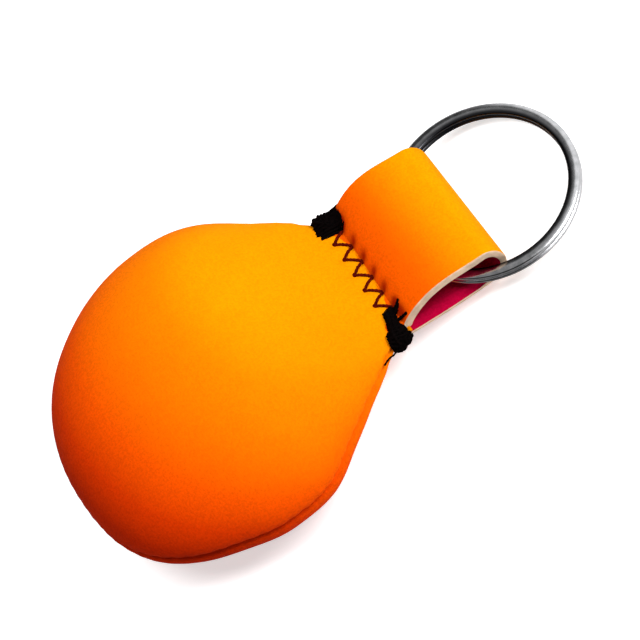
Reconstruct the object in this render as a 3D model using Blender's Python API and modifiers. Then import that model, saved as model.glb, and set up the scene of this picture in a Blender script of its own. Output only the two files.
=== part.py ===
# Floating keychain: a puffy foam-filled neoprene float whose short strap loop carries a steel split ring.
# Keychain frame: +X from the float towards the ring, +Y to the strap's shorter edge, +Z to the front face.
# The keychain empty turns that frame into the pose in which the keychain lies on its back.
import math

import bmesh
import bpy
from mathutils import Vector

MM = 0.001
TINY = 1.0e-6

# Outline of the float
HALF_WIDTH = 27.6 * MM
HALF_THICKNESS = 10.7 * MM
WIDEST_X = -2.9 * MM
FAR_LENGTH = 25.9 * MM
NECK_X = 26.0 * MM
NECK_END_X = 26.6 * MM
NECK_SIDE_MARGIN = 0.3 * MM
NECK_HALF_THICKNESS = 1.75 * MM
WIDTH_FALL_POWER = 1.45
THICKNESS_FALL_POWER = 1.25
PUFF_POWER = 2.4
NECK_FLATNESS = 5.6

# Cloth of the cover
WALL = 2.5 * MM
SEAM_DEPTH = 0.8 * MM
SEAM_LIP_ANGLE = math.radians(2.4)
SQUASH = 1.5 * MM

# Strap loop
STRAP_WIDTH = 23.6 * MM
STRAP_WALL = 1.6 * MM
STRAP_START_X = 23.6 * MM
PARTING_X = 26.6 * MM
FOLD_OUTER_X = 44.0 * MM
FOLD_SKEW = 1.5 * MM
FOLD_LENGTH = 2.4 * MM
LAYER_GAP = 0.3 * MM
FRONT_RISE = 3.9 * MM
BACK_RISE = 1.2 * MM
OPENING_POWER = 1.1
SLIT_SIDE_DISTANCE = 2.3 * MM
SLIT_HALF_GAP = 0.12 * MM
SLIT_START_X = 19.0 * MM
SLIT_END_X = 28.0 * MM
SLIT_HALF_WIDTH = 0.5 * STRAP_WIDTH - SLIT_SIDE_DISTANCE
NECK_HALF_WIDTH = 0.5 * STRAP_WIDTH + NECK_SIDE_MARGIN

# Foam core and threads
CLEARANCE = 0.5 * MM
CAVITY_END_X = 23.0 * MM
CAVITY_LEAST_HALF = 0.3 * MM
CORE_SIDE_INSET = 3.9 * MM
CORE_END_X = 19.0 * MM
SEAM_THREAD_RADIUS = 0.25 * MM
SEAM_THREAD_START = math.radians(36.0)
THREAD_RADIUS = 0.28 * MM
THREAD_CLEARANCE = 0.3 * MM
TACK_SIDE_CLEARANCE = 0.7 * MM
ZIGZAG_WIDTH = 2.6 * MM
ZIGZAG_PERIODS = 5
ZIGZAG_LEFT_DISTANCE = 4.0 * MM
ZIGZAG_RIGHT_DISTANCE = 3.7 * MM
ZIGZAG_PITCH = (2.0 * NECK_HALF_WIDTH - ZIGZAG_LEFT_DISTANCE - ZIGZAG_RIGHT_DISTANCE) / ZIGZAG_PERIODS
TACK_LENGTH_Y = 3.2 * MM
TACK_PITCH = 0.74 * MM
TACK_ROUNDING = 0.9 * MM
LEFT_TACK_START_X = 24.0 * MM
LEFT_TACK_PASSES = 6
RIGHT_TACK_START_X = 23.2 * MM
RIGHT_TACK_PASSES = 7

# Split ring
WIRE_WIDTH = 1.9 * MM
WIRE_THICKNESS = 0.85 * MM
COIL_GAP = 0.2 * MM
WIRE_ROUNDING = 0.25 * MM
RING_SIDE_ROOM = 1.3 * MM
RING_CORNER_ROOM = 1.2395 * MM
RING_ASIDE = 0.22 * MM
RING_SINK = 0.10 * MM
RING_INNER_RADIUS = 0.5 * STRAP_WIDTH + RING_SIDE_ROOM
RING_RADIUS = RING_INNER_RADIUS + WIRE_WIDTH
RING_CORNER_X = FOLD_OUTER_X - STRAP_WALL - RING_CORNER_ROOM
RING_X = RING_CORNER_X + math.sqrt(RING_INNER_RADIUS**2 - (0.5 * STRAP_WIDTH) ** 2)
RING_CENTRE = Vector((RING_X, RING_ASIDE, -RING_SINK))
RING_TILT = math.radians(4.2)
JOG_ANGLE = math.radians(36.0)
END_GAP_ANGLE = math.radians(4.0)
COIL_START_ANGLE = math.radians(168.0)
FLOOR_CLEARANCE = 0.02 * MM

# Mesh fineness
BODY_SEGMENTS = 64
BODY_RINGS = 28
CAVITY_SEGMENTS = 44
CAVITY_RINGS = 16
CORE_RINGS = 14
STRAP_STEPS = 44
STRAP_COLUMNS = 6
RING_STEPS = 56


def remove_everything():
    for item in list(bpy.data.objects):
        bpy.data.objects.remove(item, do_unlink=True)


def new_collection(name):
    collection = bpy.data.collections.new(name)
    bpy.context.scene.collection.children.link(collection)
    return collection


def new_material(name, colour, roughness, metallic=0.0):
    material = bpy.data.materials.new(name)
    material.use_nodes = True
    shader = material.node_tree.nodes["Principled BSDF"]
    shader.inputs["Base Color"].default_value = (*colour, 1.0)
    shader.inputs["Roughness"].default_value = roughness
    shader.inputs["Metallic"].default_value = metallic
    material.diffuse_color = (*colour, 1.0)
    return material


remove_everything()
PARTS = new_collection("floating_keychain")
CUTTERS = new_collection("cutters")
CUTTERS.hide_render = True

ORANGE = new_material("orange_neoprene", (1.0, 0.27, 0.003), 0.75)
LINING = new_material("magenta_lining", (0.52, 0.004, 0.06), 0.85)
FOAM = new_material("cream_foam", (0.82, 0.62, 0.36), 0.9)
CORE_FOAM = new_material("core_foam", (0.85, 0.82, 0.75), 0.9)
BLACK = new_material("black_thread", (0.012, 0.009, 0.009), 0.6)
STEEL = new_material("polished_steel", (0.58, 0.58, 0.6), 0.18, 1.0)
CLOTH_SLOTS = (ORANGE, LINING, FOAM)
FACE_SLOT, LINING_SLOT, FOAM_SLOT = range(3)


def add_object(name, mesh, materials, parent, helper=False):
    item = bpy.data.objects.new(name, mesh)
    for material in materials:
        mesh.materials.append(material)
    if helper:
        CUTTERS.objects.link(item)
        item.hide_render = True
        item.display_type = "WIRE"
    else:
        PARTS.objects.link(item)
    item.parent = parent
    return item


def add_boolean(item, operation, other):
    modifier = item.modifiers.new(operation.lower() + "_" + other.name, "BOOLEAN")
    modifier.operation = operation
    modifier.solver = "EXACT"
    modifier.object = other


# Outline and thickness of the float
def fall(x, power):
    part = min(1.0, max(0.0, (x - WIDEST_X) / (NECK_X - WIDEST_X)))
    return 0.5 * (1.0 + math.cos(math.pi * part**power))


def half_width(x, inset=0.0):
    if x < WIDEST_X:
        reach = (WIDEST_X - x) / (FAR_LENGTH - inset)
        return (HALF_WIDTH - inset) * math.sqrt(max(0.0, 1.0 - reach * reach))
    spread = HALF_WIDTH - NECK_HALF_WIDTH
    return NECK_HALF_WIDTH - inset + spread * fall(x, WIDTH_FALL_POWER)


def half_thickness(x, y, side_inset=0.0, face_inset=0.0, least=0.0):
    if x < WIDEST_X:
        along = (WIDEST_X - x) / (FAR_LENGTH - side_inset)
        across = y / (HALF_WIDTH - side_inset)
        reach = math.hypot(along, across)
    else:
        reach = abs(y) / half_width(x, side_inset)
    spread = HALF_THICKNESS - NECK_HALF_THICKNESS
    middle = NECK_HALF_THICKNESS - face_inset + spread * fall(x, THICKNESS_FALL_POWER)
    part = min(1.0, max(0.0, (x - WIDEST_X) / (NECK_X - WIDEST_X)))
    power = PUFF_POWER + NECK_FLATNESS * part**3
    return max(middle, least) * math.sqrt(max(0.0, 1.0 - min(1.0, reach) ** power))


def outline_radius(angle, inset, end_x):
    """Distance from the widest point's centre to the outline in one direction of the plan."""
    near = 0.0
    far = 2.0 * HALF_WIDTH
    for _ in range(40):
        middle = 0.5 * (near + far)
        x = WIDEST_X + middle * math.cos(angle)
        y = middle * math.sin(angle)
        if x < end_x and abs(y) < half_width(x, inset):
            near = middle
        else:
            far = middle
    return near


# Resting pose on the floor
def lowest(pitch):
    low = 1.0
    for step in range(120):
        x = WIDEST_X - FAR_LENGTH + step * 0.4 * MM
        low = min(low, -half_thickness(x, 0.0) * math.cos(pitch) - x * math.sin(pitch))
    return low


def ring_lowest(pitch):
    half_height = WIRE_THICKNESS + 0.5 * COIL_GAP
    tilt = pitch + RING_TILT
    centre = RING_CENTRE.z * math.cos(pitch) - RING_CENTRE.x * math.sin(pitch)
    return centre - RING_RADIUS * math.sin(tilt) - half_height * math.cos(tilt)


def rest_pitch():
    low = 0.0
    high = math.radians(20.0)
    for _ in range(40):
        middle = 0.5 * (low + high)
        if ring_lowest(middle) - FLOOR_CLEARANCE > lowest(middle) + SQUASH:
            low = middle
        else:
            high = middle
    return low


PITCH = rest_pitch()
FLOOR = lowest(PITCH) + SQUASH


def floor_at(x):
    """Height of the floor in the keychain frame."""
    return (FLOOR + x * math.sin(PITCH)) / math.cos(PITCH)


def flat_middle():
    """X of the middle of the flattened spot in the keychain frame."""
    inside = []
    for step in range(560):
        x = WIDEST_X - FAR_LENGTH + step * 0.1 * MM
        if -half_thickness(x, 0.0) < floor_at(x):
            inside.append(x)
    return 0.5 * (inside[0] + inside[-1])


FLAT_X = flat_middle()


def keychain_empty():
    item = bpy.data.objects.new("keychain", None)
    PARTS.objects.link(item)
    item.rotation_euler = (0.0, PITCH, 0.0)
    spot_x = FLAT_X * math.cos(PITCH) + floor_at(FLAT_X) * math.sin(PITCH)
    item.location = (-spot_x, 0.0, -FLOOR)
    return item


KEYCHAIN = keychain_empty()


# Pillow shapes: a sphere whose points are moved to the outline and thickness
def moved_sphere(name, segments, rings, place, slot):
    mesh = bpy.data.meshes.new(name)
    build = bmesh.new()
    bmesh.ops.create_uvsphere(build, u_segments=segments, v_segments=rings, radius=1.0)
    for vertex in build.verts:
        vertex.co = place(vertex.co.copy())
    bmesh.ops.recalc_face_normals(build, faces=build.faces)
    for face in build.faces:
        face.material_index = slot
        face.smooth = True
    build.to_mesh(mesh)
    build.free()
    return mesh


def pillow_point(direction, shape, rings):
    """Where one point of the unit sphere goes on a pillow of the given shape."""
    angle = math.atan2(direction.y, direction.x)
    latitude = math.asin(max(-1.0, min(1.0, direction.z)))
    turn = abs(latitude) / (0.5 * math.pi)
    first = 2.0 / rings
    radius = outline_radius(angle, shape["side"], shape["end"])
    if turn < 0.5 * first:
        part = 1.0 - shape["groove"] / radius
    else:
        lifted = shape["lip"] + (turn - first) / (1.0 - first) * (0.5 * math.pi - shape["lip"])
        part = math.cos(lifted)
    x = WIDEST_X + part * radius * math.cos(angle)
    y = part * radius * math.sin(angle)
    if turn < 0.5 * first:
        return Vector((x, y, 0.0))
    z = half_thickness(x, y, shape["side"], shape["face"], shape["least"])
    z = math.copysign(z, latitude)
    return Vector((x, y, max(z, floor_at(x) + shape["floor"])))


BODY_SHAPE = {
    "side": 0.0,
    "face": 0.0,
    "least": 0.0,
    "end": NECK_END_X,
    "groove": SEAM_DEPTH,
    "lip": SEAM_LIP_ANGLE,
    "floor": 0.0,
}
CAVITY_SHAPE = {
    "side": WALL,
    "face": WALL,
    "least": CAVITY_LEAST_HALF,
    "end": CAVITY_END_X,
    "groove": 0.0,
    "lip": math.pi / CAVITY_RINGS,
    "floor": WALL,
}
CORE_SHAPE = {
    "side": CORE_SIDE_INSET,
    "face": WALL + CLEARANCE,
    "least": CAVITY_LEAST_HALF,
    "end": CORE_END_X,
    "groove": 0.0,
    "lip": math.pi / CORE_RINGS,
    "floor": WALL + CLEARANCE,
}


def pillow(name, segments, rings, shape, slot):
    return moved_sphere(name, segments, rings, lambda d: pillow_point(d, shape, rings), slot)


# Strap loop: a flat strip bent into a drop shape, then given its thickness
HALF_LEG = 0.5 * (LAYER_GAP + STRAP_WALL)
FOLD_START_X = FOLD_OUTER_X - 0.5 * STRAP_WALL - FOLD_LENGTH


def strap_middle(x, rise):
    """Distance of the middle of one layer from the middle plane at one X."""
    if x <= PARTING_X:
        return HALF_LEG
    part = min(1.0, (x - PARTING_X) / (FOLD_START_X - PARTING_X))
    return HALF_LEG + rise * math.sin(0.5 * math.pi * part) ** OPENING_POWER


def strap_path(part, side):
    """Point of one half of the loop, from its start in the neck (0) to the fold (1)."""
    straight = 0.62
    if part < straight:
        x = STRAP_START_X + (FOLD_START_X - STRAP_START_X) * part / straight
        return x, side * strap_middle(x, FRONT_RISE if side > 0.0 else BACK_RISE)
    turn = 0.5 * math.pi * (part - straight) / (1.0 - straight)
    x = FOLD_START_X + FOLD_LENGTH * math.sin(turn)
    fold_middle = 0.5 * (FRONT_RISE - BACK_RISE)
    fold_half = HALF_LEG + 0.5 * (FRONT_RISE + BACK_RISE)
    return x, fold_middle + side * fold_half * math.cos(turn)


def strap_loop():
    mesh = bpy.data.meshes.new("strap_loop")
    build = bmesh.new()
    bmesh.ops.create_grid(build, x_segments=STRAP_STEPS, y_segments=STRAP_COLUMNS, size=1.0)
    for vertex in build.verts:
        along = vertex.co.x
        across = vertex.co.y
        x, z = strap_path(1.0 - abs(along), 1.0 if along < 0.0 else -1.0)
        reach = max(0.0, (x - PARTING_X) / (FOLD_OUTER_X - PARTING_X))
        x -= 0.5 * FOLD_SKEW * across * reach
        y = 0.5 * STRAP_WIDTH * across
        vertex.co = (x, y, z)
    build.to_mesh(mesh)
    build.free()
    item = add_object("strap_loop", mesh, CLOTH_SLOTS, KEYCHAIN, helper=True)
    modifier = item.modifiers.new("thickness", "SOLIDIFY")
    modifier.thickness = STRAP_WALL
    modifier.offset = 0.0
    modifier.use_even_offset = True
    modifier.material_offset = LINING_SLOT
    modifier.material_offset_rim = FOAM_SLOT
    return item


def box_cutter(name, low, high, slot):
    mesh = bpy.data.meshes.new(name)
    build = bmesh.new()
    bmesh.ops.create_cube(build, size=1.0)
    for vertex in build.verts:
        for axis in range(3):
            vertex.co[axis] = low[axis] if vertex.co[axis] < 0.0 else high[axis]
    for face in build.faces:
        face.material_index = slot
    build.to_mesh(mesh)
    build.free()
    return add_object(name, mesh, CLOTH_SLOTS, KEYCHAIN, helper=True)


def neoprene_cover():
    mesh = pillow("neoprene_cover", BODY_SEGMENTS, BODY_RINGS, BODY_SHAPE, FACE_SLOT)
    cover = add_object("neoprene_cover", mesh, CLOTH_SLOTS, KEYCHAIN)
    hollow = pillow("cavity", CAVITY_SEGMENTS, CAVITY_RINGS, CAVITY_SHAPE, LINING_SLOT)
    hollow = add_object("cavity", hollow, CLOTH_SLOTS, KEYCHAIN, helper=True)
    low = (SLIT_START_X, -SLIT_HALF_WIDTH, -SLIT_HALF_GAP)
    high = (SLIT_END_X, SLIT_HALF_WIDTH, SLIT_HALF_GAP)
    add_boolean(cover, "UNION", strap_loop())
    add_boolean(cover, "DIFFERENCE", hollow)
    add_boolean(cover, "DIFFERENCE", box_cutter("neck_slit", low, high, LINING_SLOT))
    return cover


def foam_core():
    mesh = pillow("foam_core", CAVITY_SEGMENTS, CORE_RINGS, CORE_SHAPE, FACE_SLOT)
    return add_object("foam_core", mesh, (CORE_FOAM,), KEYCHAIN)


# Threads
def tube(name, points, radius, parent):
    curve = bpy.data.curves.new(name, "CURVE")
    curve.dimensions = "3D"
    curve.bevel_depth = radius
    curve.bevel_resolution = 1
    curve.use_fill_caps = True
    spline = curve.splines.new("POLY")
    spline.points.add(len(points) - 1)
    for place, point in zip(spline.points, points, strict=True):
        place.co = (*point, 1.0)
    return solid_from_curve(name, curve, (BLACK,), parent)


def solid_from_curve(name, curve, materials, parent):
    guide = bpy.data.objects.new(name + "_guide", curve)
    bpy.context.scene.collection.objects.link(guide)
    graph = bpy.context.evaluated_depsgraph_get()
    mesh = bpy.data.meshes.new_from_object(guide.evaluated_get(graph))
    mesh.name = name
    bpy.data.objects.remove(guide, do_unlink=True)
    build = bmesh.new()
    build.from_mesh(mesh)
    bmesh.ops.remove_doubles(build, verts=build.verts, dist=TINY)
    bmesh.ops.recalc_face_normals(build, faces=build.faces)
    for face in build.faces:
        face.smooth = True
    build.to_mesh(mesh)
    build.free()
    mesh.materials.clear()
    return add_object(name, mesh, materials, parent)


def surface_height(x, y, rise):
    """Distance of one face from the middle plane near the neck."""
    body = half_thickness(x, y) if x < NECK_X else 0.0
    step = 0.1 * MM
    slope = (strap_middle(x + step, rise) - strap_middle(x - step, rise)) / (2.0 * step)
    strap = strap_middle(x, rise) + 0.5 * STRAP_WALL * math.hypot(1.0, slope)
    return max(body, strap)


def zigzag_points(side):
    lift = THREAD_RADIUS + THREAD_CLEARANCE
    parts = 3
    tips = 2 * ZIGZAG_PERIODS + 1
    points = []
    for step in range((tips - 1) * parts + 1):
        place = step / parts
        nearest = math.floor(place)
        swing = place - nearest
        swing = swing if nearest % 2 == 0 else 1.0 - swing
        x = NECK_X + ZIGZAG_WIDTH * (0.5 - swing)
        y = NECK_HALF_WIDTH - ZIGZAG_LEFT_DISTANCE - 0.5 * ZIGZAG_PITCH * place
        rise = FRONT_RISE if side > 0.0 else BACK_RISE
        points.append((x, y, side * (surface_height(x, y, rise) + lift)))
    return points


def tack_half(x, side, face):
    """One pass of a tack over one face of the neck and half of its edge."""
    lift = THREAD_RADIUS + THREAD_CLEARANCE
    edge = NECK_HALF_WIDTH + THREAD_RADIUS + TACK_SIDE_CLEARANCE
    inner = edge - TACK_LENGTH_Y
    edge = max(edge, half_width(x) + THREAD_RADIUS + TACK_SIDE_CLEARANCE)
    rise = FRONT_RISE if face > 0.0 else BACK_RISE
    run = []
    for part in (0.0, 0.5, 1.0):
        y = inner + (edge - TACK_ROUNDING - inner) * part
        run.append((y, surface_height(x, y - TACK_ROUNDING, rise) + lift))
    top = run[-1][1]
    run.append((edge - 0.29 * TACK_ROUNDING, top - 0.29 * TACK_ROUNDING))
    run.append((edge, top - TACK_ROUNDING))
    return [(x, side * y, face * z) for y, z in run]


def tack_points(side, start_x, passes):
    """A thread that wraps one edge of the neck back and forth, from the front face round to the back."""
    points = []
    for number in range(passes):
        x = start_x + number * TACK_PITCH
        whole = tack_half(x, side, 1.0) + tack_half(x, side, -1.0)[::-1]
        points += whole if number % 2 == 0 else whole[::-1]
    return points


def seam_thread_points():
    inset = WALL + CLEARANCE + SEAM_THREAD_RADIUS
    steps = 52
    points = []
    for step in range(steps + 1):
        angle = SEAM_THREAD_START + step / steps * 2.0 * (math.pi - SEAM_THREAD_START)
        radius = outline_radius(angle, inset, CAVITY_END_X)
        points.append((WIDEST_X + radius * math.cos(angle), radius * math.sin(angle), 0.0))
    return points


# Split ring: two turns of flat wire with one jog between them
def wire_section():
    curve = bpy.data.curves.new("wire_section", "CURVE")
    curve.dimensions = "2D"
    half = (0.5 * WIRE_WIDTH, 0.5 * WIRE_THICKNESS)
    points = []
    for sign_x, sign_y in ((1, 1), (-1, 1), (-1, -1), (1, -1)):
        corner = (sign_x * (half[0] - WIRE_ROUNDING), sign_y * (half[1] - WIRE_ROUNDING))
        out = [
            (corner[0] + sign_x * WIRE_ROUNDING, corner[1]),
            (corner[0] + sign_x * 0.71 * WIRE_ROUNDING, corner[1] + sign_y * 0.71 * WIRE_ROUNDING),
            (corner[0], corner[1] + sign_y * WIRE_ROUNDING),
        ]
        points += out if sign_x * sign_y > 0 else out[::-1]
    spline = curve.splines.new("POLY")
    spline.points.add(len(points) - 1)
    for place, point in zip(spline.points, points, strict=True):
        place.co = (*point, 0.0, 1.0)
    spline.use_cyclic_u = True
    section = bpy.data.objects.new("wire_section", curve)
    CUTTERS.objects.link(section)
    section.hide_render = True
    return section


def split_ring():
    section = wire_section()
    curve = bpy.data.curves.new("split_ring", "CURVE")
    curve.dimensions = "3D"
    curve.twist_mode = "Z_UP"
    curve.bevel_mode = "OBJECT"
    curve.bevel_object = section
    curve.use_fill_caps = True
    turn = 2.0 * math.pi
    half_step = 0.5 * (WIRE_THICKNESS + COIL_GAP)
    middle_radius = RING_RADIUS - 0.5 * WIRE_WIDTH
    last = 2.0 * turn - JOG_ANGLE - END_GAP_ANGLE
    count = round(RING_STEPS * last / turn)
    points = []
    for step in range(count + 1):
        angle = last * step / count
        rise = min(1.0, max(0.0, (angle - turn + JOG_ANGLE) / JOG_ANGLE))
        rise = rise * rise * (3.0 - 2.0 * rise)
        x = middle_radius * math.cos(angle + COIL_START_ANGLE)
        y = middle_radius * math.sin(angle + COIL_START_ANGLE)
        points.append((x, y, half_step * (2.0 * rise - 1.0)))
    spline = curve.splines.new("POLY")
    spline.points.add(len(points) - 1)
    for place, point in zip(spline.points, points, strict=True):
        place.co = (*point, 1.0)
    ring = solid_from_curve("split_ring", curve, (STEEL,), KEYCHAIN)
    ring.location = RING_CENTRE
    ring.rotation_euler = (0.0, RING_TILT, 0.0)
    bpy.data.objects.remove(section, do_unlink=True)
    return ring


neoprene_cover()
foam_core()
tube("seam_thread", seam_thread_points(), SEAM_THREAD_RADIUS, KEYCHAIN)
tube("zigzag_thread_front", zigzag_points(1.0), THREAD_RADIUS, KEYCHAIN)
tube("zigzag_thread_back", zigzag_points(-1.0), THREAD_RADIUS, KEYCHAIN)
tube("bartack_left", tack_points(1.0, LEFT_TACK_START_X, LEFT_TACK_PASSES), THREAD_RADIUS, KEYCHAIN)
tube("bartack_right", tack_points(-1.0, RIGHT_TACK_START_X, RIGHT_TACK_PASSES), THREAD_RADIUS, KEYCHAIN)
split_ring()
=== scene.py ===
# Floating keychain: a puffy neoprene float, its stitched strap loop and a steel split ring.
# Shapes are worked out in the keychain's own frame: +X from the float to the ring, +Z to the front face.
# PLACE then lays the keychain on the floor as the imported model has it.
import math
import random

import bmesh
import bpy
from mathutils import Matrix, Vector, noise


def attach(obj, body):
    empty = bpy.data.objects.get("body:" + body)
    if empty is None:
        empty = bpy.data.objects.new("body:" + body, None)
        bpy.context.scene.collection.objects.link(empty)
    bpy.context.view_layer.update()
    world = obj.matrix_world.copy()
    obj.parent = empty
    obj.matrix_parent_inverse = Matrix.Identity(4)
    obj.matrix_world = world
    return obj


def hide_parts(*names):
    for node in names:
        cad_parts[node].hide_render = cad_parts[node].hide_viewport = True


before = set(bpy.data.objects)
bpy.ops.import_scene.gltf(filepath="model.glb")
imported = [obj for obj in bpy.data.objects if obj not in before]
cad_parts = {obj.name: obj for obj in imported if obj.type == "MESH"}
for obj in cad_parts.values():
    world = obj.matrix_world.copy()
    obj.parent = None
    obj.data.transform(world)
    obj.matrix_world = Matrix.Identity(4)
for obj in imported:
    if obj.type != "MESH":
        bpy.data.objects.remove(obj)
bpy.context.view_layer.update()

MM = 0.001

# Resting pose of the keychain on the floor
PITCH = math.asin(0.112592)
PLACE = Matrix.Translation((1.3335 * MM, 0.0, 9.1038 * MM)) @ Matrix.Rotation(PITCH, 4, "Y")

# Outline of the float
HALF_WIDTH = 27.6 * MM
HALF_THICKNESS = 10.7 * MM
WIDEST_X = -2.9 * MM
FAR_LENGTH = 25.9 * MM
NECK_X = 26.0 * MM
NECK_END_X = 26.6 * MM
NECK_HALF_WIDTH = 12.1 * MM
NECK_HALF_THICKNESS = 1.75 * MM
WIDTH_FALL_POWER = 1.45
THICKNESS_FALL_POWER = 1.25
PUFF_POWER = 2.4
NECK_FLATNESS = 5.6

# Cloth of the float
SEAM_DEPTH = 0.85 * MM
SEAM_HALF_WIDTH = 0.5 * MM
SEAM_SHARPNESS = 1.6
SEAM_MEAN_RADIUS = 26.0 * MM
SEAM_NECK_FADE = 1.5 * MM
STITCH_LENGTH = 2.3 * MM
PUCKER_DEPTH = 0.16 * MM
PUCKER_REACH = 1.3 * MM
UNEVEN_DEPTH = 0.22 * MM
UNEVEN_SIZE = 11.0 * MM
UNEVEN_FADE = 8.0 * MM

# How far the sewn outline strays from its even shape: direction in degrees and distance
STRAY = (
    (-180.0, -0.2 * MM),
    (-170.0, 0.15 * MM),
    (-155.0, 1.0 * MM),
    (-140.0, 1.5 * MM),
    (-124.0, 0.7 * MM),
    (-108.0, -0.25 * MM),
    (-92.0, -0.15 * MM),
    (-76.0, -0.3 * MM),
    (-60.0, -1.35 * MM),
    (-46.0, -0.8 * MM),
    (-34.0, 0.3 * MM),
    (-22.0, 0.1 * MM),
    (0.0, 0.0),
    (22.0, 0.1 * MM),
    (34.0, 1.0 * MM),
    (48.0, 0.2 * MM),
    (64.0, -0.05 * MM),
    (88.0, -0.3 * MM),
    (110.0, -0.7 * MM),
    (124.0, -0.85 * MM),
    (144.0, -0.5 * MM),
    (165.0, -0.5 * MM),
    (180.0, -0.2 * MM),
)

# Strap loop
STRAP_WIDTH = 23.6 * MM
STRAP_WALL = 1.6 * MM
STRAP_START_X = 23.6 * MM
PARTING_X = 26.6 * MM
FOLD_OUTER_X = 44.0 * MM
FOLD_SKEW = 1.3 * MM
FOLD_LENGTH = 2.4 * MM
LEG_SHARE = 0.62
LAYER_GAP = 0.3 * MM
FRONT_RISE = 3.0 * MM
BACK_RISE = 1.2 * MM
OPENING_POWER = 0.9
EDGE_ROUNDING = 0.45 * MM
LINING_ROUNDING = 0.2 * MM
FRONT_BULGE = 1.45 * MM
BULGE_POWER = 0.75
FOLD_THINNING = 0.5
THINNING_REACH = 0.3
FRONT_TWIST = 0.8 * MM
BACK_PINCH = 0.55
PINCH_REACH = 1.3 * MM

# Zigzag and tacks
ZIGZAG_X = 25.2 * MM
ZIGZAG_WIDTH = 2.3 * MM
ZIGZAG_PITCH = 3.3 * MM
ZIGZAG_TIPS = 11
ZIGZAG_START_Y = 8.85 * MM
ZIGZAG_LEAN = 0.2 * MM
ZIGZAG_RADIUS = 0.22 * MM
VALLEY_DEPTH = 0.35 * MM
VALLEY_HALF_WIDTH = 1.5 * MM
VALLEY_FADE = 2.0 * MM
STITCH_REACH = 6.0 * MM
DIMPLE_DEPTH = 0.5 * MM
DIMPLE_RADIUS = 0.7 * MM
# Painted shade at the needle dimples and round the tacks: its offset from the tips, its reach and its zone
NEEDLE_OFFSET = 0.45 * MM
NEEDLE_REACH = 0.8 * MM
NEEDLE_ZONE = 4.0 * MM
TACK_SHADE_SPOTS = ((27.1, 9.6), (26.9, 10.9), (26.7, -8.3), (26.9, -9.6), (26.9, -10.8))
TACK_RADIUS = 0.24 * MM
TACK_STEP = 0.29 * MM
TACK_CORNER = 0.9 * MM
SATIN_LAYERS = 3
FIRST_LIFT = 0.16 * MM
LAYER_LIFT = 0.27 * MM
LAYER_INSET = 0.35 * MM
LOOSE_WRAPS = 5
LOOSE_LIFT = 0.78 * MM
PLY_SWELL = 0.16
ZIGZAG_PLY = 1.1 * MM
TACK_PLY = 1.2 * MM

# Split ring
RING_RADIUS = 15.0 * MM
WIRE_WIDTH = 1.9 * MM
WIRE_THICKNESS = 0.9 * MM
COIL_GAP = 0.13 * MM
WIRE_SQUARENESS = 2.2
RING_CENTRE = Vector((46.85, 0.22, -0.1)) * MM
RING_TILT = math.radians(4.2)
JOG_ANGLE = math.radians(36.0)
END_GAP_ANGLE = math.radians(4.0)
COIL_START_ANGLE = math.radians(168.0)

# Mesh fineness
AROUND = 420
RINGS = 66
NECK_CROWDING = 0.6
SEAM_CROWDING = 1.25
STRAP_STEPS = 240
STRAP_COLUMNS = 88
SLOPE_STEP = 0.1 * MM
PATH_STEP = 0.004
RING_STEPS = 190
TACK_SIDES = 7
WIRE_CORNERS = 28


# Outline and thickness of the float
def fall(x, power):
    part = min(1.0, max(0.0, (x - WIDEST_X) / (NECK_X - WIDEST_X)))
    return 0.5 * (1.0 + math.cos(math.pi * part**power))


def half_width(x):
    if x < WIDEST_X:
        reach = (WIDEST_X - x) / FAR_LENGTH
        return HALF_WIDTH * math.sqrt(max(0.0, 1.0 - reach * reach))
    return NECK_HALF_WIDTH + (HALF_WIDTH - NECK_HALF_WIDTH) * fall(x, WIDTH_FALL_POWER)


def half_thickness(x, y):
    if x < WIDEST_X:
        reach = math.hypot((WIDEST_X - x) / FAR_LENGTH, y / HALF_WIDTH)
    else:
        reach = abs(y) / half_width(x)
    spread = HALF_THICKNESS - NECK_HALF_THICKNESS
    middle = NECK_HALF_THICKNESS + spread * fall(x, THICKNESS_FALL_POWER)
    part = min(1.0, max(0.0, (x - WIDEST_X) / (NECK_X - WIDEST_X)))
    power = PUFF_POWER + NECK_FLATNESS * part**3
    return middle * math.sqrt(max(0.0, 1.0 - min(1.0, reach) ** power))


def stray(angle):
    """How far the outline strays in one direction, on a soft curve through the named ones."""
    degrees = (math.degrees(angle) + 180.0) % 360.0 - 180.0
    last = len(STRAY) - 1
    for number in range(last):
        start, low = STRAY[number]
        end, high = STRAY[number + 1]
        if start <= degrees <= end:
            before = STRAY[number - 1] if number else (STRAY[-2][0] - 360.0, STRAY[-2][1])
            after = STRAY[number + 2] if number + 2 <= last else (STRAY[1][0] + 360.0, STRAY[1][1])
            span = end - start
            part = (degrees - start) / span
            leave = (high - before[1]) / (end - before[0]) * span
            arrive = (after[1] - low) / (after[0] - start) * span
            rest = 1.0 - part
            ends = low * (1.0 + 2.0 * part) * rest * rest + high * (3.0 - 2.0 * part) * part * part
            return ends + part * rest * (leave * rest - arrive * part)
    return 0.0


def outline_radius(angle):
    """Distance from the widest point's centre to the outline in one direction of the plan."""
    near = 0.0
    far = 2.0 * HALF_WIDTH
    for _ in range(40):
        middle = 0.5 * (near + far)
        x = WIDEST_X + middle * math.cos(angle)
        if x < NECK_END_X and abs(middle * math.sin(angle)) < half_width(x):
            near = middle
        else:
            far = middle
    return near


# Middle surface of the strap loop
HALF_LEG = 0.5 * (LAYER_GAP + STRAP_WALL)
FOLD_START_X = FOLD_OUTER_X - 0.5 * STRAP_WALL - FOLD_LENGTH


def strap_middle(x, rise):
    """Distance of the middle of the loop's cloth from the keychain's middle plane."""
    if x <= PARTING_X:
        return HALF_LEG
    part = min(1.0, (x - PARTING_X) / (FOLD_START_X - PARTING_X))
    lift = rise * math.sin(0.5 * math.pi * part) ** OPENING_POWER
    bulge = FRONT_BULGE if rise == FRONT_RISE else 0.0
    return HALF_LEG + lift + bulge * math.sin(math.pi * part**BULGE_POWER) * (1.0 - part**3)


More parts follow.
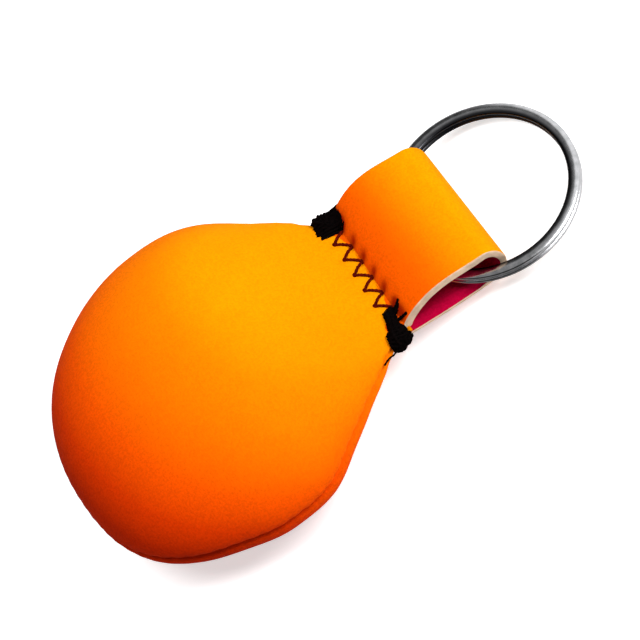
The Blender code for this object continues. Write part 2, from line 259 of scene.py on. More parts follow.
def strap_path(along):
    """Point on the middle of the cloth, from the neck's front (-1) round the fold (0) to its back (1)."""
    side = 1.0 if along < 0.0 else -1.0
    part = 1.0 - abs(along)
    if part < LEG_SHARE:
        x = STRAP_START_X + (FOLD_START_X - STRAP_START_X) * part / LEG_SHARE
        return x, side * strap_middle(x, FRONT_RISE if side > 0.0 else BACK_RISE)
    turn = 0.5 * math.pi * (part - LEG_SHARE) / (1.0 - LEG_SHARE)
    x = FOLD_START_X + FOLD_LENGTH * math.sin(turn)
    fold_middle = 0.5 * (FRONT_RISE - BACK_RISE)
    fold_half = HALF_LEG + 0.5 * (FRONT_RISE + BACK_RISE)
    return x, fold_middle + side * fold_half * math.cos(turn)


def surface_height(x, y, side):
    """Distance of the front or back face from the middle plane, before the stitches pull it in."""
    rise = FRONT_RISE if side > 0.0 else BACK_RISE
    body = half_thickness(x, y) if x < NECK_X else 0.0
    slope = (strap_middle(x + SLOPE_STEP, rise) - strap_middle(x - SLOPE_STEP, rise)) / (2.0 * SLOPE_STEP)
    strap = strap_middle(x, rise) + 0.5 * STRAP_WALL * math.hypot(1.0, slope)
    return max(body, strap)


# Zigzag stitch: its tips, and how it pulls the cloth in
def zigzag_tip(number):
    """Tip of the zigzag: even ones lie on the strap's side of the neck, odd ones on the float's."""
    strap_side = number % 2 == 0
    x = ZIGZAG_X + (0.5 if strap_side else -0.5) * ZIGZAG_WIDTH
    lean = -ZIGZAG_LEAN if strap_side else ZIGZAG_LEAN
    return x, ZIGZAG_START_Y - 0.5 * ZIGZAG_PITCH * number + lean


TIPS = [zigzag_tip(number) for number in range(ZIGZAG_TIPS)]


def bell(distance, reach):
    return math.exp(-((distance / reach) ** 2))


def stitch_dip(x, y):
    """How far the zigzag pulls the cloth in at one point of the neck."""
    if not NECK_X - STITCH_REACH < x < NECK_X + STITCH_REACH:
        return 0.0
    across = min(1.0, max(0.0, (NECK_HALF_WIDTH - abs(y)) / VALLEY_FADE))
    dip = VALLEY_DEPTH * bell(x - ZIGZAG_X, VALLEY_HALF_WIDTH) * across
    for tip_x, tip_y in TIPS:
        distance = math.hypot(x - tip_x, y - tip_y)
        if distance < 3.0 * DIMPLE_RADIUS:
            dip += DIMPLE_DEPTH * bell(distance, DIMPLE_RADIUS)
    return dip


# Centres of the painted shade: beside the strap-side tips of the zigzag and along the tacks
NEEDLE_SHADE_SPOTS = [Vector((x + NEEDLE_OFFSET, y)) for x, y in TIPS[::2]]
NEEDLE_SHADE_SPOTS += [Vector(place) * MM for place in TACK_SHADE_SPOTS]


def needle_shade(build):
    """Painted shade round the spots where the needle pulled the cloth deep in, 0 to 1."""
    layer = build.verts.layers.float.new("needle_shade")
    for vertex in build.verts:
        place = vertex.co.xy
        if abs(place.x - ZIGZAG_X) < NEEDLE_ZONE:
            shade = sum(bell((place - shade_spot).length, NEEDLE_REACH) for shade_spot in NEEDLE_SHADE_SPOTS)
            vertex[layer] = min(1.0, shade)


# Mesh helpers
def finished(name, build, materials, body):
    """Turns a built mesh into a piece on the floor that rides on one body."""
    bmesh.ops.recalc_face_normals(build, faces=build.faces)
    mesh = bpy.data.meshes.new(name)
    for face in build.faces:
        face.smooth = True
    build.to_mesh(mesh)
    build.free()
    mesh.transform(PLACE)
    for material in materials:
        mesh.materials.append(material)
    item = bpy.data.objects.new(name, mesh)
    bpy.context.scene.collection.objects.link(item)
    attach(item, body)
    return item


def skin(build, rows, slot_of=None):
    """Closed skin over rows of points that each go once round, with capped ends and a UV map in metres."""
    layer = build.loops.layers.uv.verify()
    corners = [[build.verts.new(point) for point in row] for row in rows]
    count = len(rows[0])
    travelled = 0.0
    for number in range(len(rows) - 1):
        step = (rows[number + 1][0] - rows[number][0]).length
        for place in range(count):
            after = (place + 1) % count
            ring = corners[number]
            far = corners[number + 1]
            face = build.faces.new((ring[place], ring[after], far[after], far[place]))
            face.material_index = slot_of(place) if slot_of else 0
            around = (place / count, (place + 1) / count)
            ends = ((travelled, around[0]), (travelled, around[1]))
            ends += ((travelled + step, around[1]), (travelled + step, around[0]))
            for loop, uv in zip(face.loops, ends, strict=True):
                loop[layer].uv = uv
        travelled += step
    build.faces.new(corners[0][::-1]).material_index = slot_of(0) if slot_of else 0
    build.faces.new(corners[-1]).material_index = slot_of(0) if slot_of else 0


def smooth_line(points, spacing):
    """Points at an even spacing along a soft curve through the given points."""
    guide = []
    for number in range(len(points) - 1):
        before = points[max(0, number - 1)]
        start = points[number]
        end = points[number + 1]
        after = points[min(len(points) - 1, number + 2)]
        steps = max(2, math.ceil((end - start).length / spacing))
        for step in range(steps):
            t = step / steps
            a = 2.0 * start
            b = (end - before) * t
            c = (2.0 * before - 5.0 * start + 4.0 * end - after) * t * t
            d = (3.0 * start - before - 3.0 * end + after) * t**3
            guide.append(0.5 * (a + b + c + d))
    guide.append(points[-1])
    return guide


def thread_rows(points, radius, twist_pitch, sides):
    """Rows round a two-ply thread: an oval section that turns as it goes along."""
    rows = []
    side = None
    travelled = 0.0
    for number, point in enumerate(points):
        ahead = points[min(number + 1, len(points) - 1)] - points[max(number - 1, 0)]
        ahead.normalize()
        if side is None:
            side = ahead.orthogonal().normalized()
        side = (side - ahead * side.dot(ahead)).normalized()
        up = ahead.cross(side)
        if number:
            travelled += (point - points[number - 1]).length
        turn = 2.0 * math.pi * travelled / twist_pitch
        row = []
        for place in range(sides):
            angle = 2.0 * math.pi * place / sides
            swell = radius * (1.0 + PLY_SWELL * math.cos(2.0 * (angle - turn)))
            row.append(point + swell * (math.cos(angle) * side + math.sin(angle) * up))
        rows.append(row)
    return rows


# Materials
def new_material(name, roughness, metallic=0.0):
    material = bpy.data.materials.new(name)
    material.use_nodes = True
    shader = material.node_tree.nodes["Principled BSDF"]
    shader.inputs["Roughness"].default_value = roughness
    shader.inputs["Metallic"].default_value = metallic
    return material, material.node_tree, shader


def add_node(tree, kind, settings=None, inputs=None):
    """A node with its settings, whose inputs are joined to a socket or set to a plain value."""
    node = tree.nodes.new(kind)
    for key, value in (settings or {}).items():
        setattr(node, key, value)
    for key, source in (inputs or {}).items():
        if isinstance(source, bpy.types.NodeSocket):
            tree.links.new(source, node.inputs[key])
        else:
            node.inputs[key].default_value = source
    return node


def maths(tree, operation, *terms):
    return add_node(tree, "ShaderNodeMath", {"operation": operation}, dict(enumerate(terms))).outputs[0]


def blended(tree, factor, first, second):
    """Mix of two masks."""
    inputs = {"Factor": factor, "A": first, "B": second}
    return add_node(tree, "ShaderNodeMix", {}, inputs).outputs["Result"]


def mixed(tree, blend, factor, first, second):
    """Mix of two colours."""
    settings = {"data_type": "RGBA", "blend_type": blend}
    return add_node(tree, "ShaderNodeMix", settings, {0: factor, 6: first, 7: second}).outputs[2]


def mapped(tree, source, low, high, least, most):
    """Values from low to high, turned into values from least to most."""
    inputs = {"Value": source, "From Min": low, "From Max": high, "To Min": least, "To Max": most}
    return add_node(tree, "ShaderNodeMapRange", {}, inputs).outputs["Result"]


def uneven(tree, place, scale, detail, roughness=0.5):
    """Soft random mask over the surface."""
    inputs = {"Vector": place, "Scale": scale, "Detail": detail, "Roughness": roughness}
    return add_node(tree, "ShaderNodeTexNoise", {}, inputs).outputs["Fac"]


def ramp(tree, source, stops):
    node = add_node(tree, "ShaderNodeValToRGB", {}, {"Fac": source})
    band = node.color_ramp
    while len(band.elements) < len(stops):
        band.elements.new(0.5)
    for element, (place, colour) in zip(band.elements, stops, strict=True):
        element.position = place
        element.color = (*colour, 1.0)
    return node.outputs["Color"]


def greys(*stops):
    return tuple((place, (tone, tone, tone)) for place, tone in stops)


def axes_of(tree, vector):
    return add_node(tree, "ShaderNodeSeparateXYZ", {}, {0: vector}).outputs


def surface(tree, shader, colour, gloss, height, strength, depth):
    """Joins a colour and a bump to the shader, and sets how much the surface mirrors."""
    tree.links.new(colour, shader.inputs["Base Color"])
    shader.inputs["Specular IOR Level"].default_value = gloss
    inputs = {"Height": height, "Strength": strength, "Distance": depth}
    tree.links.new(add_node(tree, "ShaderNodeBump", {}, inputs).outputs["Normal"], shader.inputs["Normal"])


FLOAT = "NodeSocketFloat"
VECTOR = "NodeSocketVector"


def new_group(name, inputs, masks):
    """An empty node group with its inputs and the masks that it puts out."""
    tree = bpy.data.node_groups.new(name, "ShaderNodeTree")
    for label, kind, value in inputs:
        socket = tree.interface.new_socket(name=label, in_out="INPUT", socket_type=kind)
        if value is not None:
            socket.default_value = value
    for label in masks:
        tree.interface.new_socket(name=label, in_out="OUTPUT", socket_type=FLOAT)
    return tree, tree.nodes.new("NodeGroupInput").outputs, tree.nodes.new("NodeGroupOutput").inputs


def knit_group():
    """Fine jersey: tiny rows of loops with uneven, slightly fuzzy yarn."""
    inputs = (("Vector", VECTOR, None), ("Rows per metre", FLOAT, 1900.0), ("Fuzz", FLOAT, 0.5))
    tree, given, result = new_group("jersey_knit", inputs, ("Height", "Mottle"))
    place = given["Vector"]
    cells = {"Vector": place, "Scale": given["Rows per metre"], "Randomness": 0.55}
    loops = add_node(tree, "ShaderNodeTexVoronoi", {"feature": "F1"}, cells).outputs["Distance"]
    fuzz = uneven(tree, place, 2600.0, 4.0, 0.7)
    patches = uneven(tree, place, 420.0, 3.0, 0.6)
    height = blended(tree, given["Fuzz"], maths(tree, "SUBTRACT", 1.0, loops), fuzz)
    tree.links.new(height, result["Height"])
    tree.links.new(blended(tree, 0.85, patches, fuzz), result["Mottle"])
    return tree


def ply_group():
    """Twisted fibres of a thread, along its UV map."""
    inputs = (("Twists per metre", FLOAT, 900.0),)
    tree, given, result = new_group("twisted_ply", inputs, ("Height", "Fibre"))
    along, around, _ = axes_of(tree, add_node(tree, "ShaderNodeUVMap").outputs["UV"])
    twist = maths(tree, "MULTIPLY", along, given["Twists per metre"])
    phase = maths(tree, "ADD", twist, maths(tree, "MULTIPLY", around, 2.0))
    wave = maths(tree, "SINE", maths(tree, "MULTIPLY", phase, 2.0 * math.pi))
    place = add_node(tree, "ShaderNodeTexCoord").outputs["Object"]
    fibre = uneven(tree, place, 5200.0, 3.0)
    tree.links.new(maths(tree, "MULTIPLY_ADD", wave, 0.4, fibre), result["Height"])
    tree.links.new(fibre, result["Fibre"])
    return tree


KNIT = knit_group()
PLY = ply_group()


def knit_nodes(tree, rows, fuzz):
    """Object coordinates and a jersey group that reads them."""
    place = add_node(tree, "ShaderNodeTexCoord").outputs["Object"]
    inputs = {"Vector": place, "Rows per metre": rows, "Fuzz": fuzz}
    return place, add_node(tree, "ShaderNodeGroup", {"node_tree": KNIT}, inputs).outputs


def orange_jersey(name, direction, offset, stops):
    """Orange jersey face with painted light and shade along one direction of the piece, a fine grain and
    painted shade at the needle dimples.
    """
    material, tree, shader = new_material(name, 0.82)
    place, knit = knit_nodes(tree, 2100.0, 0.55)
    product = {"operation": "DOT_PRODUCT"}
    along = add_node(tree, "ShaderNodeVectorMath", product, {0: place, 1: direction}).outputs["Value"]
    # The orange is painted darker and lighter along the direction, as shade and light
    orange_painted_shading = ramp(tree, maths(tree, "ADD", along, offset), stops)
    grain = ramp(tree, knit["Mottle"], greys((0.4, 0.68), (0.58, 0.955)))
    colour = mixed(tree, "MULTIPLY", 0.6, orange_painted_shading, grain)
    # Painted shade: dark red spots where the needle pulled the cloth in
    shade_spot = add_node(tree, "ShaderNodeAttribute", {"attribute_name": "needle_shade"}).outputs["Fac"]
    colour = mixed(tree, "MIX", maths(tree, "MULTIPLY", shade_spot, 0.9), colour, DIMPLE_SHADE_TONE)
    surface(tree, shader, colour, 0.02, knit["Height"], 0.5, 0.14 * MM)
    return material


def magenta_lining():
    material, tree, shader = new_material("magenta_lining", 0.85)
    _, knit = knit_nodes(tree, 1700.0, 0.4)
    colour = ramp(tree, knit["Mottle"], ((0.25, (0.36, 0.0, 0.026)), (0.75, (0.6, 0.001, 0.05))))
    surface(tree, shader, colour, 0.03, knit["Height"], 0.5, 0.15 * MM)
    return material


def cream_foam(name, tone):
    """Cut foam with tiny open cells."""
    material, tree, shader = new_material(name, 0.92)
    place = add_node(tree, "ShaderNodeTexCoord").outputs["Object"]
    inputs = {"Vector": place, "Scale": 4200.0}
    cells = add_node(tree, "ShaderNodeTexVoronoi", {}, inputs).outputs["Distance"]
    dark = tuple(0.72 * value for value in tone)
    colour = ramp(tree, uneven(tree, place, 500.0, 4.0), ((0.3, dark), (0.62, tone)))
    surface(tree, shader, colour, 0.15, cells, 0.6, 0.12 * MM)
    return material


def spun_thread(name, dark, light):
    material, tree, shader = new_material(name, 0.8)
    ply = add_node(tree, "ShaderNodeGroup", {"node_tree": PLY}, {"Twists per metre": 900.0}).outputs
    colour = ramp(tree, ply["Fibre"], ((0.3, dark), (0.75, light)))
    surface(tree, shader, colour, 0.02, ply["Height"], 0.6, 0.05 * MM)
    return material


def polished_steel():
    """Steel with a dark reflection painted on its inner side, by the mesh's own tone attribute."""
    material, tree, shader = new_material("polished_steel", 0.16, 1.0)
    place = add_node(tree, "ShaderNodeTexCoord").outputs["Object"]
    wear = uneven(tree, place, 900.0, 5.0)
    colour = ramp(tree, wear, ((0.3, (0.55, 0.56, 0.57)), (0.65, (0.72, 0.72, 0.74))))
    # inner_side marks the inner wall, where a dark reflection is painted
    inner = add_node(tree, "ShaderNodeAttribute", {"attribute_name": "inner_side"}).outputs["Fac"]
    tree.links.new(mixed(tree, "MIX", inner, colour, RING_DARK_REFLECTION_TONE), shader.inputs["Base Color"])
    tree.links.new(mapped(tree, wear, 0.0, 1.0, 0.12, 0.26), shader.inputs["Roughness"])
    return material


# Dark red painted shade for the needle dimples
DIMPLE_SHADE_TONE = (0.3, 0.006, 0.0, 1.0)
# Near-black painted dark reflection for the ring's inner wall
RING_DARK_REFLECTION_TONE = (0.05, 0.05, 0.055, 1.0)
# The float's orange with painted light and shade: dark red towards its bottom and far end, amber on top
# near the neck
FLOAT_ORANGE_PAINTED_SHADING = (
    (0.1, (0.42, 0.016, 0.0)),
    (0.3, (0.66, 0.036, 0.0)),
    (0.5, (0.88, 0.085, 0.0)),
    (0.7, (0.98, 0.16, 0.0)),
    (0.88, (1.0, 0.225, 0.0)),
    (1.0, (1.0, 0.32, 0.0)),
)
# The strap's orange with painted light and shade: deep orange in shade by the stitch, amber towards the
# fold
STRAP_ORANGE_PAINTED_SHADING = (
    (0.0, (0.93, 0.11, 0.0)),
    (0.3, (0.97, 0.12, 0.0)),
    (0.45, (1.0, 0.152, 0.0)),
    (0.62, (1.0, 0.22, 0.0)),
    (0.8, (1.0, 0.3, 0.0)),
    (1.0, (1.0, 0.345, 0.0)),
)
ORANGE = orange_jersey("orange_jersey", (22.9, 4.4, 33.3), 0.186, FLOAT_ORANGE_PAINTED_SHADING)
STRAP_ORANGE = orange_jersey("strap_jersey", (58.0, 5.0, 0.0), -1.6, STRAP_ORANGE_PAINTED_SHADING)
LINING = magenta_lining()
CREAM = cream_foam("cream_foam", (0.74, 0.54, 0.38))
CORE = cream_foam("core_foam", (0.85, 0.82, 0.75))
BLACK = spun_thread("black_thread", (0.0005, 0.0005, 0.0005), (0.004, 0.002, 0.002))
DARK_RED = spun_thread("zigzag_thread", (0.04, 0.001, 0.001), (0.16, 0.009, 0.003))
STEEL = polished_steel()


# The padded float
def around_angles():
    """Directions round the float, crowded towards the neck."""
    angles = []
    for step in range(AROUND):
        part = step / AROUND
        angles.append(2.0 * math.pi * part - NECK_CROWDING * math.sin(2.0 * math.pi * part))
    return angles


def shell_point(angle, radius, latitude, side):
    """Point on the front or back half of the float, with the seam's groove and puckers."""
    part = math.cos(latitude)
    x = WIDEST_X + part * radius * math.cos(angle)
    y = part * radius * math.sin(angle)
    z = half_thickness(x, y) if latitude > 0.0 else 0.0
    at_neck = min(1.0, max(0.0, (NECK_END_X - x) / SEAM_NECK_FADE))
    stitches = 0.5 + 0.5 * math.cos(2.0 * math.pi * angle * SEAM_MEAN_RADIUS / STITCH_LENGTH)
    inset = SEAM_DEPTH * math.exp(-((z / SEAM_HALF_WIDTH) ** SEAM_SHARPNESS))
    inset += PUCKER_DEPTH * stitches * bell(z, PUCKER_REACH)
    inset *= at_neck
    x += (part * stray(angle) - inset) * math.cos(angle)
    y += (part * stray(angle) - inset) * math.sin(angle)
    z -= stitch_dip(x, y)
    floor = floor_height(x)
    return Vector((x, y, max(side * z, floor)))


def floor_height(x):
    """Height of the floor in the keychain's frame."""
    return (x * math.sin(PITCH) - PLACE.translation.z) / math.cos(PITCH)


def float_cover():
    angles = around_angles()
    radii = [outline_radius(angle) for angle in angles]
    build = bmesh.new()
    rows = {}
    for ring in range(-RINGS + 1, RINGS):
        latitude = 0.5 * math.pi * (abs(ring) / RINGS) ** SEAM_CROWDING
        side = 1.0 if ring >= 0 else -1.0
        row = [shell_point(a, r, latitude, side) for a, r in zip(angles, radii, strict=True)]
        rows[ring] = [build.verts.new(point) for point in row]
    for ring in range(-RINGS + 1, RINGS - 1):
        for place in range(AROUND):
            after = (place + 1) % AROUND
            low = rows[ring]
            high = rows[ring + 1]
            build.faces.new((low[place], low[after], high[after], high[place]))
    for side in (1.0, -1.0):
        centre = shell_point(0.0, 0.0, 0.5 * math.pi, side)
        pole = build.verts.new(centre)
        rim = rows[side * (RINGS - 1)]
        for place in range(AROUND):
            build.faces.new((rim[place], rim[(place + 1) % AROUND], pole))
    soften(build)
    needle_shade(build)
    return finished("float_cover", build, (ORANGE,), "float")


def soften(build):
    """Slight unevenness of a hand-sewn, foam-filled cover, kept off the floor and the neck."""
    build.normal_update()
    for vertex in build.verts:
        place = vertex.co / UNEVEN_SIZE
        near_neck = min(1.0, max(0.0, (NECK_X - vertex.co.x) / UNEVEN_FADE))
        push = UNEVEN_DEPTH * noise.noise(place) * near_neck
        moved = vertex.co + vertex.normal * push
        moved.z = max(moved.z, floor_height(moved.x))
        vertex.co = moved


cover = float_cover()
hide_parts("neoprene_cover")


# The strap loop
def strap_section():
    """Places round the strap's cut section: across it, through its wall, and each stretch's material."""
    half = 0.5 * STRAP_WIDTH
    wall = 0.5 * STRAP_WALL
    flat = half - EDGE_ROUNDING
    points = []
    for step in range(STRAP_COLUMNS + 1):
        points.append((flat * (2.0 * step / STRAP_COLUMNS - 1.0), wall, 0))
    edge = []
    for degrees in (22.0, 45.0, 68.0, 90.0):
        turn = math.radians(degrees)
        slot = 0 if degrees < 60.0 else 2
        across = flat + EDGE_ROUNDING * math.sin(turn)
        edge.append((across, wall - EDGE_ROUNDING * (1.0 - math.cos(turn)), slot))
    low = wall - LINING_ROUNDING
    for part in (0.33, 0.66, 1.0):
        edge.append((half, wall - EDGE_ROUNDING - (low + wall - EDGE_ROUNDING) * part, 2))
    edge.append((half - 0.3 * LINING_ROUNDING, -low - 0.7 * LINING_ROUNDING, 2))
    points += edge
    for step in range(STRAP_COLUMNS + 1):
        points.append(((half - LINING_ROUNDING) * (1.0 - 2.0 * step / STRAP_COLUMNS), -wall, 1))
    points += [(-across, through, slot) for across, through, slot in edge[::-1]]
    return points


def twist(x, y, z):
    """How much more the loop's front layer bulges towards its left edge."""
    if z <= 0.0:
        return 0.0
    part = min(1.0, max(0.0, (x - PARTING_X) / (FOLD_OUTER_X - PARTING_X)))
    return FRONT_TWIST * (0.5 + y / STRAP_WIDTH) * math.sin(math.pi * part**0.8)


def pinch(along, across):
    """How far the back layer's cut edges are pressed thin, 0 to BACK_PINCH."""
    edge = min(1.0, max(0.0, (abs(across) - 0.5 * STRAP_WIDTH + PINCH_REACH) / PINCH_REACH))
    behind = min(1.0, max(0.0, (along - 0.3) / 0.2))
    return BACK_PINCH * edge * edge * (3.0 - 2.0 * edge) * behind * behind * (3.0 - 2.0 * behind)


def strap_loop():
    section = strap_section()
    rows = []
    for step in range(STRAP_STEPS + 1):
        along = 2.0 * step / STRAP_STEPS - 1.0
        x, z = strap_path(along)
        before = strap_path(max(-1.0, along - PATH_STEP))
        after = strap_path(min(1.0, along + PATH_STEP))
        ahead = Vector((after[0] - before[0], after[1] - before[1])).normalized()
        outward = Vector((-ahead.y, ahead.x))
        reach = max(0.0, (x - PARTING_X) / (FOLD_OUTER_X - PARTING_X))
        thin = 1.0 - FOLD_THINNING * bell(along, THINNING_REACH)
        row = []
        for across, through, _ in section:
            skew = -FOLD_SKEW * across / STRAP_WIDTH * reach
            out = through * thin if through > 0.0 else through
            out += (0.5 * STRAP_WALL - out) * pinch(along, across)
            point = Vector((x + skew + outward.x * out, across, z + outward.y * out))
            if through > 0.0:
                dip = stitch_dip(point.x, point.y) * through / (0.5 * STRAP_WALL)
                point.z -= math.copysign(dip, z)
            point.z += twist(point.x, point.y, z)
            row.append(point)
        rows.append(row)
    build = bmesh.new()
    skin(build, rows, lambda place: section[place][2])
    needle_shade(build)
    return finished("strap_loop", build, (STRAP_ORANGE, LINING, CREAM), "float")


strap = strap_loop()
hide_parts("neoprene_cover")


# Threads
def zigzag_thread(name, side):
    """The thread dives into the cloth at its strap-side tips and turns softly at the others."""
    points = []
    for number, (x, y) in enumerate(TIPS):
        if number:
            before = TIPS[number - 1]
            for part in (0.15, 0.4, 0.6, 0.85):
                mid_x = before[0] + (x - before[0]) * part
                mid_y = before[1] + (y - before[1]) * part
                points.append(thread_point(mid_x, mid_y, side, 0.8 * ZIGZAG_RADIUS))
        if number % 2 == 0:
            points.append(thread_point(x, y, side, -0.8 * ZIGZAG_RADIUS))
        else:
            points.append(thread_point(x, y + 0.16 * MM, side, 0.3 * ZIGZAG_RADIUS))
            points.append(thread_point(x, y - 0.16 * MM, side, 0.3 * ZIGZAG_RADIUS))
    build = bmesh.new()
    skin(build, thread_rows(smooth_line(points, 0.12 * MM), ZIGZAG_RADIUS, ZIGZAG_PLY, 10))
    item = finished(name + "_stitched", build, (DARK_RED,), "float")
    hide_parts(name)
    return item


def thread_point(x, y, side, lift):
    return Vector((x, y, side * (surface_height(x, y, side) - stitch_dip(x, y) + lift)))


zigzag_thread("zigzag_thread_front", 1.0)
zigzag_thread("zigzag_thread_back", -1.0)


def round_edge(travelled, x, side, lift, start_y):
    """Point on a path that runs over the front face, round the neck's edge and over the back face."""
    edge = max(NECK_HALF_WIDTH, half_width(x))
    top = surface_height(x, edge - TACK_CORNER, 1.0)
    low = surface_height(x, edge - TACK_CORNER, -1.0)
    run = edge - TACK_CORNER - start_y
    bend = 0.5 * math.pi * TACK_CORNER
    wall = max(0.0, top + low - 2.0 * TACK_CORNER)
    back = 2.0 * run + 2.0 * bend + wall - travelled
    face = 1.0 if travelled < run + bend + 0.5 * wall else -1.0
    height = top if face > 0.0 else low
    travelled = travelled if face > 0.0 else back
    if travelled <= run:
        y = start_y + travelled
        return Vector((x, side * y, face * (surface_height(x, y, face) - stitch_dip(x, y) + lift)))
    if travelled <= run + bend:
        turn = (travelled - run) / TACK_CORNER
        y = edge - TACK_CORNER + (TACK_CORNER + lift) * math.sin(turn)
        return Vector((x, side * y, face * (height - TACK_CORNER + (TACK_CORNER + lift) * math.cos(turn))))
    return Vector((x, side * (edge + lift), face * (height - TACK_CORNER - (travelled - run - bend))))


def tack_thread(points, spacing, radius=TACK_RADIUS):
    return thread_rows(smooth_line(points, spacing), radius, TACK_PLY, TACK_SIDES)


def satin_rows(side, start_y, length, band, rng, lift):
    """A dense zigzag over a band round the neck's edge; band gives its middle and half width."""
    points = []
    passes = round(length / TACK_STEP)
    for number in range(passes):
        travelled = length * number / passes
        middle, half = band(travelled / length)
        out = half * rng.uniform(0.82, 1.16)
        sign = 1.0 if number % 2 else -1.0
        for part in (-1.0, -0.5, 0.0, 0.5, 1.0):
            x = middle + sign * part * out
            raised = lift * (0.1 if abs(part) == 1.0 else rng.uniform(0.85, 1.15))
            points.append(round_edge(travelled + 0.5 * TACK_STEP * part, x, side, raised, start_y))
    return tack_thread(points, 0.3 * MM)


def loose_rows(side, start_y, length, band, rng):
    """Untidy wraps that run along the tack, over its edge."""
    points = []
    for number in range(LOOSE_WRAPS):
        share = rng.uniform(0.0, 0.25)
        ends = (share * length, (1.0 - rng.uniform(0.0, 0.25)) * length)
        shift = rng.uniform(-0.75, 0.75)
        run = []
        for step in range(9):
            travelled = ends[0] + (ends[1] - ends[0]) * step / 8.0
            middle, half = band(travelled / length)
            x = middle + half * (shift + rng.uniform(-0.12, 0.12))
            run.append(round_edge(travelled, x, side, LOOSE_LIFT * rng.uniform(0.8, 1.25), start_y))
        points += run if number % 2 == 0 else run[::-1]
    return tack_thread(points, 0.3 * MM)


def tack(name, side, start_y, length, band, strands=(), tail=()):
    rng = random.Random(f"{name}-stitches")
    build = bmesh.new()
    for layer in range(SATIN_LAYERS):
        inset = LAYER_INSET * layer
        lift = FIRST_LIFT + LAYER_LIFT * layer
        skin(build, satin_rows(side, start_y + inset, length - 2.0 * inset, band, rng, lift))
    skin(build, loose_rows(side, start_y + 0.3 * MM, length - 0.6 * MM, band, rng))
    for strand in strands:
        line = [thread_point(x, side * y, 1.0, lift) for x, y, lift in strand]
        skin(build, tack_thread(line, 0.2 * MM))
    if tail:
        skin(build, tack_thread([Vector(point) for point in tail], 0.15 * MM, 0.6 * TACK_RADIUS))
    item = finished(name + "_stitched", build, (BLACK,), "float")
    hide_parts(name)
    return item


def left_band(part):
    return (25.2 + 0.4 * part) * MM, 2.15 * MM


def right_band(part):
    """Narrow on the front face, wide at the neck's edge and set back towards the float there."""
    wide = min(1.0, max(0.0, (part - 0.22) / 0.14))
    back = min(1.0, part / 0.36)
    return (25.3 - 0.8 * back) * MM, (0.8 + 0.7 * wide * wide * (3.0 - 2.0 * wide)) * MM


tack("bartack_left", 1.0, 8.9 * MM, 11.6 * MM, left_band)
RIGHT_STRANDS = (
    ((25.0 * MM, 9.0 * MM, 0.5 * MM), (26.3 * MM, 8.7 * MM, 0.45 * MM), (27.7 * MM, 8.4 * MM, 0.0)),
    ((24.9 * MM, 9.6 * MM, 0.5 * MM), (26.2 * MM, 9.3 * MM, 0.5 * MM), (27.3 * MM, 8.8 * MM, 0.1 * MM)),
    ((24.8 * MM, 10.4 * MM, 0.5 * MM), (26.2 * MM, 10.7 * MM, 0.45 * MM), (27.6 * MM, 11.2 * MM, 0.0)),
)
TAIL = (
    (23.2 * MM, -13.5 * MM, -0.2 * MM),
    (22.4 * MM, -14.1 * MM, 0.2 * MM),
    (21.5 * MM, -14.3 * MM, 0.4 * MM),
    (20.4 * MM, -14.9 * MM, 0.6 * MM),
)
tack("bartack_right", -1.0, 7.9 * MM, 12.8 * MM, right_band, RIGHT_STRANDS, TAIL)


# Split ring: a flat wire wound twice, with one jog between its turns
def split_ring():
    bpy.ops.object.select_all(action="DESELECT")
    middle_radius = RING_RADIUS - 0.5 * WIRE_WIDTH
    upright = (0.5 * math.pi, 0.0, 0.0)
    bpy.ops.mesh.primitive_circle_add(vertices=WIRE_CORNERS, radius=1.0, fill_type="NGON", rotation=upright)
    item = bpy.context.object
    item.name = "split_ring_detailed"
    item.data.name = item.name
    bpy.ops.object.transform_apply(location=True, rotation=True, scale=True)
    for vertex in item.data.vertices:
        reach = abs(vertex.co.x) ** WIRE_SQUARENESS + abs(vertex.co.z) ** WIRE_SQUARENESS
        vertex.co *= 0.5 / reach ** (1.0 / WIRE_SQUARENESS)
    bpy.ops.object.mode_set(mode="EDIT")
    bpy.ops.mesh.select_all(action="SELECT")
    bpy.ops.transform.resize(value=(WIRE_WIDTH, 1.0, WIRE_THICKNESS))
    bpy.ops.transform.translate(value=(middle_radius, 0.0, 0.0))
    turn = 2.0 * math.pi
    last = 2.0 * turn - JOG_ANGLE - END_GAP_ANGLE
    steps = round(RING_STEPS * last / turn)
    bpy.ops.mesh.spin(steps=steps, angle=last, center=(0.0, 0.0, 0.0), axis=(0.0, 0.0, 1.0))
    bpy.ops.object.mode_set(mode="OBJECT")
    section = len(item.data.vertices) // (steps + 1)
    half_step = 0.5 * (WIRE_THICKNESS + COIL_GAP)
    # inner_side: mask for the dark reflection painted on the ring's inner wall
    tone = item.data.attributes.new("inner_side", "FLOAT", "POINT")
    for vertex in item.data.vertices:
        angle = last * (vertex.index // section) / steps
        inward = (RING_RADIUS - math.hypot(vertex.co.x, vertex.co.y)) / WIRE_WIDTH
        tone.data[vertex.index].value = min(1.0, max(0.0, (inward - 0.5) / 0.3))
        rise = min(1.0, max(0.0, (angle - turn + JOG_ANGLE) / JOG_ANGLE))
        vertex.co.z += half_step * (2.0 * rise * rise * (3.0 - 2.0 * rise) - 1.0)
    bpy.ops.object.mode_set(mode="EDIT")
    bpy.ops.mesh.select_all(action="SELECT")
    bpy.ops.mesh.normals_make_consistent(inside=False)
    bpy.ops.object.mode_set(mode="OBJECT")
    place = Matrix.Translation(RING_CENTRE) @ Matrix.Rotation(RING_TILT, 4, "Y")
    item.data.transform(PLACE @ place @ Matrix.Rotation(COIL_START_ANGLE, 4, "Z"))
    bpy.ops.object.shade_smooth_by_angle(angle=math.radians(50.0))
    item.data.materials.append(STEEL)
    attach(item, "ring")
    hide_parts("split_ring")
    return item


split_ring()


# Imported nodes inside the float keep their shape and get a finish
def dress(name, material):
    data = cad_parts[name].data
    data.materials.clear()
    data.materials.append(material)


dress("foam_core", CORE)
dress("seam_thread", BLACK)


# Floor, world and lights
FLOOR_WHITE = 0.86
FLOOR_GLOW = 0.55
MIRRORED_FLOOR = ((0.12, 0.1), (0.4, 0.5))
MIRRORED_FLOOR_STARTS = 44.0 * MM
MIRRORED_FLOOR_ENDS = 57.0 * MM


